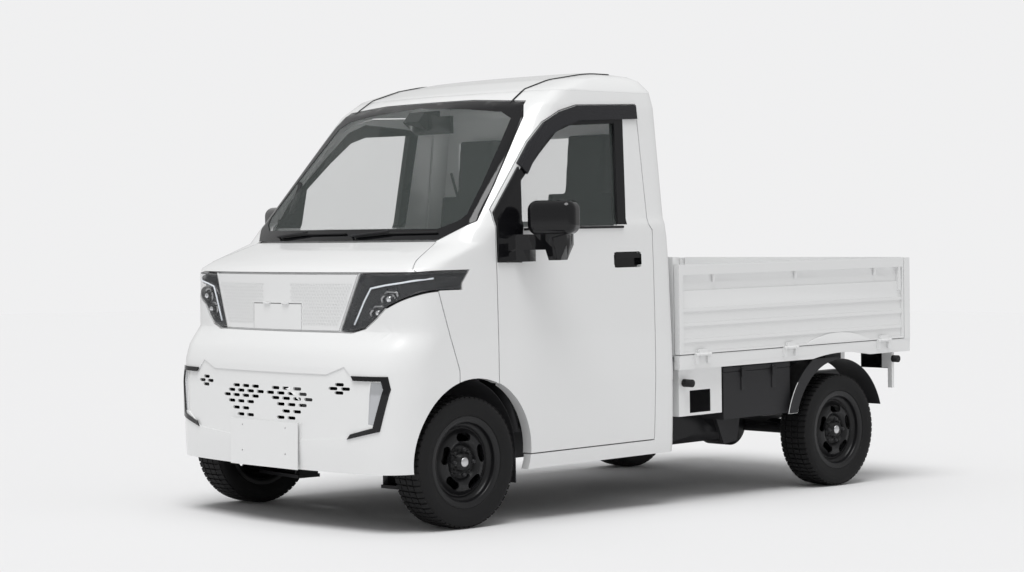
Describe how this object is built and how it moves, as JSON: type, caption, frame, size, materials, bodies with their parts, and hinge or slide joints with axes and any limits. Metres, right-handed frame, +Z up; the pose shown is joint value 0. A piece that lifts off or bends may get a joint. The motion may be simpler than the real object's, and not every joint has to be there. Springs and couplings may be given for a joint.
{
  "type": "small electric flatbed truck",
  "caption": "Cab-forward light truck with a flat cargo bed, drop gates on three sides, opening doors, hood and charge flap, steered front wheels.",
  "frame": {"origin": "on the ground under the middle of the bounding box", "axes": "+Z up, -Y towards the front of the truck, +X towards the truck's left"},
  "size_m": [1.9608, 3.3894, 1.8644],
  "materials": {
    "white_paint": "gloss white paint",
    "window_glass": "clear",
    "lamp_lens": "clear",
    "black_gloss": "gloss black",
    "black_plastic": "grained",
    "seat_fabric": "woven",
    "black_steel": "satin black",
    "black_rubber": "matt",
    "tyre_rubber": "matt",
    "wheel_black": "satin black"
  },
  "bodies": {
    "chassis": {"arch_liners": "black_plastic", "battery_pack": "black_steel", "bed_floor": "white_paint", "cab_floor": "black_plastic", "cab_shell": "white_paint", "cowl": "black_gloss", "dashboard": "black_plastic", "drl_blades": "black_gloss", "front_bumper": "white_paint", "front_suspension": "black_steel", "gate_buffers": "black_rubber", "grille_panel": "white_paint", "headboard": "white_paint", "headlamp_housings": "black_gloss", "headlamp_lenses": "lamp_lens", "ladder_frame": "black_steel", "leaf_springs": "black_steel", "mirror_pod": "black_plastic", "plate_carrier": "white_paint", "rear_axle": "black_steel", "rear_guards": "black_plastic", "rear_plate_holder": "black_plastic", "rear_window": "window_glass", "roof_panel": "white_paint", "seat_driver": "seat_fabric", "seat_passenger": "seat_fabric", "side_box": "black_plastic", "side_brackets": "white_paint", "steering_column": "black_plastic", "strut_tops": "black_steel", "tail_lamps": "black_gloss", "windshield": "window_glass"},
    "charge_flap": {"charge_flap": "white_paint"},
    "door_left": {"door_glass_left": "window_glass", "door_left": "white_paint", "mirror_left": "black_gloss", "visor_left": "black_gloss"},
    "door_right": {"door_glass_right": "window_glass", "door_right": "white_paint", "mirror_right": "black_gloss", "visor_right": "black_gloss"},
    "gate_left": {"gate_left": "white_paint"},
    "gate_right": {"gate_right": "white_paint"},
    "hood": {"hood": "white_paint"},
    "knuckle_left": {"knuckle_left": "black_steel"},
    "knuckle_right": {"knuckle_right": "black_steel"},
    "wheel_front_left": {"rim_front_left": "wheel_black", "tyre_front_left": "tyre_rubber"},
    "wheel_front_right": {"rim_front_right": "wheel_black", "tyre_front_right": "tyre_rubber"},
    "wheel_rear_left": {"rim_rear_left": "wheel_black", "tyre_rear_left": "tyre_rubber"},
    "wheel_rear_right": {"rim_rear_right": "wheel_black", "tyre_rear_right": "tyre_rubber"},
    "steering_wheel": {"steering_wheel": "black_plastic"},
    "tailgate": {"tailgate": "white_paint"}
  },
  "joints": [
    {"name": "hood_hinge", "type": "hinge", "parent": "chassis", "child": "hood", "pos_m": [0, -1.23813, 1.14038], "axis": [-1, 0, 0], "range_deg": [0, 55]},
    {"name": "charge_flap_hinge", "type": "hinge", "parent": "chassis", "child": "charge_flap", "pos_m": [0, -1.63037, 0.88511], "axis": [-1, 0, 0], "range_deg": [0, 80]},
    {"name": "door_left_hinge", "type": "hinge", "parent": "chassis", "child": "door_left", "pos_m": [0.707, -1.14203, 0.80232], "axis": [0, 0.0209, -0.9998], "range_deg": [0, 65]},
    {"name": "gate_left_hinge", "type": "hinge", "parent": "chassis", "child": "gate_left", "pos_m": [0.745, 0.74237, 0.65975], "axis": [0, 0.9998, 0.0209], "range_deg": [0, 174]},
    {"name": "door_right_hinge", "type": "hinge", "parent": "chassis", "child": "door_right", "pos_m": [-0.707, -1.14203, 0.80232], "axis": [0, -0.0209, 0.9998], "range_deg": [0, 65]},
    {"name": "gate_right_hinge", "type": "hinge", "parent": "chassis", "child": "gate_right", "pos_m": [-0.745, 0.74237, 0.65975], "axis": [0, -0.9998, -0.0209], "range_deg": [0, 174]},
    {"name": "tailgate_hinge", "type": "hinge", "parent": "chassis", "child": "tailgate", "pos_m": [0, 1.68616, 0.67952], "axis": [-1, 0, 0], "range_deg": [0, 174]},
    {"name": "steer_left", "type": "hinge", "parent": "chassis", "child": "knuckle_left", "pos_m": [0.59, -1.24425, 0.165], "axis": [-0.2794, 0, 0.9602], "range_deg": [-30, 30]},
    {"name": "steer_right", "type": "hinge", "parent": "chassis", "child": "knuckle_right", "pos_m": [-0.59, -1.24425, 0.165], "axis": [0.2794, 0, 0.9602], "range_deg": [-30, 30]},
    {"name": "steering_wheel_turn", "type": "hinge", "parent": "chassis", "child": "steering_wheel", "pos_m": [0.35, -0.82029, 1.0091], "axis": [0, 0.6266, 0.7793], "range_deg": [-420, 420]},
    {"name": "wheel_front_left_spin", "type": "hinge", "parent": "knuckle_left", "child": "wheel_front_left", "pos_m": [0.647, -1.24425, 0.2625], "axis": [1, 0, 0], "continuous": true},
    {"name": "wheel_front_right_spin", "type": "hinge", "parent": "knuckle_right", "child": "wheel_front_right", "pos_m": [-0.647, -1.24425, 0.2625], "axis": [1, 0, 0], "continuous": true},
    {"name": "wheel_rear_left_spin", "type": "hinge", "parent": "chassis", "child": "wheel_rear_left", "pos_m": [0.647, 1.13875, 0.2625], "axis": [1, 0, 0], "continuous": true},
    {"name": "wheel_rear_right_spin", "type": "hinge", "parent": "chassis", "child": "wheel_rear_right", "pos_m": [-0.647, 1.13875, 0.2625], "axis": [1, 0, 0], "continuous": true}
  ],
  "couplings": [
    {"joint": "steer_right", "follows": "steer_left", "ratio": 1},
    {"joint": "steering_wheel_turn", "follows": "steer_left", "ratio": 14}
  ]
}
